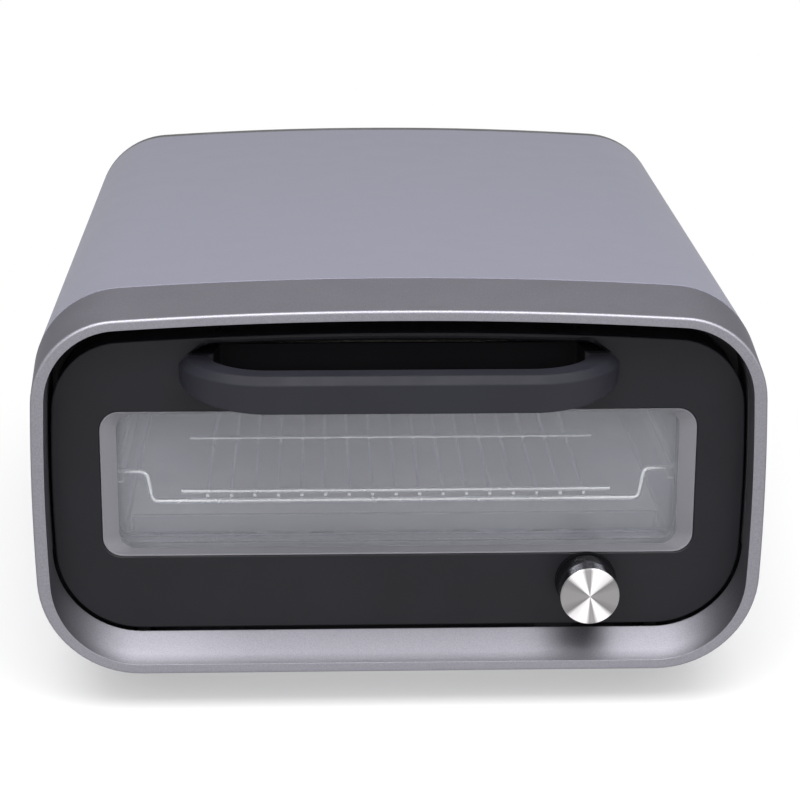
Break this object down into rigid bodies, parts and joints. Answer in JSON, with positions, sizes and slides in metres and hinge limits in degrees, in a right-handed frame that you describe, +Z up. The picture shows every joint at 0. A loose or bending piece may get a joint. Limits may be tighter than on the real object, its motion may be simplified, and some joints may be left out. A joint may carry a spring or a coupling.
{
  "type": "electric pizza oven",
  "caption": "Bench-top electric pizza oven with a rounded grey shell, a drop-down black door with a wide window, bar handle and single control knob, a pull-out wire rack and a baking stone.",
  "frame": {"origin": "on the table under the middle of the oven's outer box", "axes": "+X to the viewer's right, +Y from the front to the back, +Z up"},
  "size_m": [0.45, 0.576, 0.2606],
  "materials": {
    "ring_paint": "satin metallic grey",
    "shell_paint": "fine textured grey powder coat",
    "zinc_steel": "plain zinc-coated sheet",
    "foot_rubber": "matt",
    "cover_plastic": "matt",
    "inlet_plastic": "matt",
    "screw_steel": "satin",
    "black_sheet": "matt black",
    "gasket_fibre": "woven glass fibre",
    "cavity_steel": "satin, grey",
    "rail_steel": "satin",
    "cordierite": "fine-grained, matt",
    "element_steel": "oxidised",
    "insulation_wool": "fibre blanket",
    "fan_aluminium": "satin",
    "board_green": "solder mask",
    "component_black": "matt",
    "brass_post": "plain",
    "hinge_steel": "satin",
    "door_paint": "satin black",
    "handle_plastic": "satin, dark blue-grey",
    "bezel_metal": "satin anodised",
    "window_glass": "clear",
    "knob_black": "gloss",
    "knob_aluminium": "spun",
    "rack_chrome": "bright"
  },
  "bodies": {
    "oven": {"front_ring": "ring_paint", "outer_shell": "shell_paint", "base_pan": "zinc_steel", "foot_front_left": "foot_rubber", "foot_front_right": "foot_rubber", "foot_rear_left": "foot_rubber", "foot_rear_right": "foot_rubber", "body_screws": "screw_steel", "rear_cover": "cover_plastic", "mains_inlet": "inlet_plastic", "face_frame": "black_sheet", "door_surround": "black_sheet", "door_gasket": "gasket_fibre", "cavity_liner": "cavity_steel", "side_rail_left": "rail_steel", "side_rail_right": "rail_steel", "stone_support": "zinc_steel", "baking_stone": "cordierite", "lower_element": "element_steel", "upper_element": "element_steel", "element_brackets": "rail_steel", "insulation_blanket": "insulation_wool", "heat_shield": "zinc_steel", "thermocouple": "screw_steel", "safety_thermostat": "component_black", "bay_bracket": "zinc_steel", "fan_housing": "zinc_steel", "fan_motor": "component_black", "power_board": "board_green", "power_components": "component_black", "board_standoffs": "brass_post", "hinge_bracket_left": "hinge_steel", "hinge_bracket_right": "hinge_steel", "hinge_pins": "hinge_steel"},
    "door": {"door_panel": "door_paint", "recess_cup": "black_sheet", "handle_bar": "handle_plastic", "handle_screws": "screw_steel", "window_bezel": "bezel_metal", "outer_glass": "window_glass", "inner_glass": "window_glass", "glass_spacer": "black_sheet", "door_inner_frame": "rail_steel", "door_insulation": "insulation_wool", "door_screws": "screw_steel", "cable_cover": "component_black", "control_board": "board_green", "control_posts": "brass_post", "encoder_body": "component_black", "knob_collar": "knob_black", "hinge_arm_left": "hinge_steel", "hinge_arm_right": "hinge_steel"},
    "knob_plunger": {"encoder_plunger": "component_black"},
    "knob": {"knob_shaft": "screw_steel", "knob_skirt": "knob_black", "knob_cap": "knob_aluminium"},
    "rack": {"rack_frame": "rack_chrome", "rack_wires": "rack_chrome"},
    "fan_rotor": {"fan_impeller": "fan_aluminium"}
  },
  "joints": [
    {"name": "door_hinge", "type": "hinge", "parent": "oven", "child": "door", "pos_m": [0, -0.2415, 0.0372], "axis": [1, 0, 0], "range_deg": [0, 80]},
    {"name": "knob_press", "type": "slide", "parent": "door", "child": "knob_plunger", "axis": [0, 1, 0], "range_m": [0, 0.001], "stiffness_N_per_m": 400, "springref_m": -0.002},
    {"name": "knob_turn", "type": "hinge", "parent": "knob_plunger", "child": "knob", "pos_m": [0.1155, -0.261, 0.0777], "axis": [0, 1, 0], "continuous": true},
    {"name": "rack_slide", "type": "slide", "parent": "oven", "child": "rack", "axis": [0, -1, 0], "range_m": [0, 0.12]},
    {"name": "fan_spin", "type": "hinge", "parent": "oven", "child": "fan_rotor", "pos_m": [-0.096, 0.229, 0.1342], "axis": [0, 1, 0], "continuous": true}
  ],
  "couplings": [
    {"joint": "rack_slide", "follows": "door_hinge", "m_per_rad": 0.085}
  ]
}
